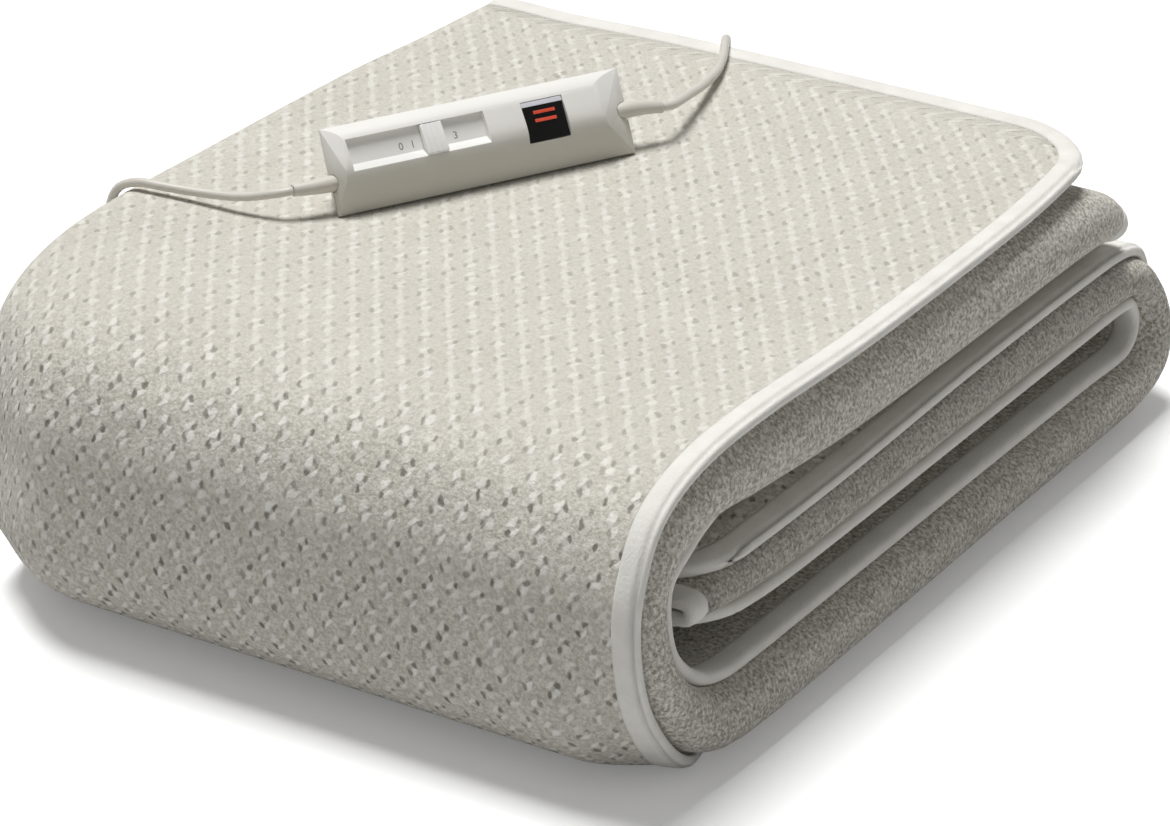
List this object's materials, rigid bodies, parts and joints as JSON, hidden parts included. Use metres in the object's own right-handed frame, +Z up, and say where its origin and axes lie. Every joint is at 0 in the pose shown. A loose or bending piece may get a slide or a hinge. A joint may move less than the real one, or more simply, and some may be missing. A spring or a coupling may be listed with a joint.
{
  "type": "heated mattress pad",
  "caption": "Electric underblanket of quilted fleece with a bound edge, folded up, with a slide controller and its leads resting on top.",
  "frame": {"origin": "middle of the folded pad's and controller's footprint, on the surface it rests on", "axes": "+Z up; Y along the pack's longer side, with -Y to the front bend and +Y to the back bend; +X to the side where the layers' edges and binding show"},
  "size_m": [0.384, 0.5672, 0.1854],
  "materials": {
    "fleece": "matt brushed stitch-bonded fleece",
    "binding": "matt knitted tape",
    "housing": "satin moulded plastic",
    "knob": "satin moulded plastic",
    "smoked_window": "polished dark plastic",
    "lit_bar": "lit display bar",
    "cord": "satin flexible pvc",
    "plug": "satin moulded pvc",
    "pin_metal": "polished"
  },
  "bodies": {
    "pad": {"pad_cloth": "fleece", "pad_binding": "binding", "controller_shell": "housing", "controller_cover": "housing", "controller_window": "smoked_window", "display_bar_1": "lit_bar", "display_bar_2": "lit_bar", "pad_lead_relief": "cord", "mains_lead_relief": "cord", "pad_socket": "housing", "pad_lead": "cord", "pad_lead_coil": "cord", "pad_lead_tail": "cord", "mains_lead": "cord", "mains_lead_coil": "cord", "mains_lead_tail": "cord", "plug_body": "plug", "plug_pin_1": "pin_metal", "plug_pin_2": "pin_metal"},
    "knob": {"slider_knob": "knob"}
  },
  "joints": [
    {"name": "heat_slide", "type": "slide", "parent": "pad", "child": "knob", "axis": [0.4924, 0.8704, 0], "range_m": [-0.0365, 0.0205]}
  ]
}
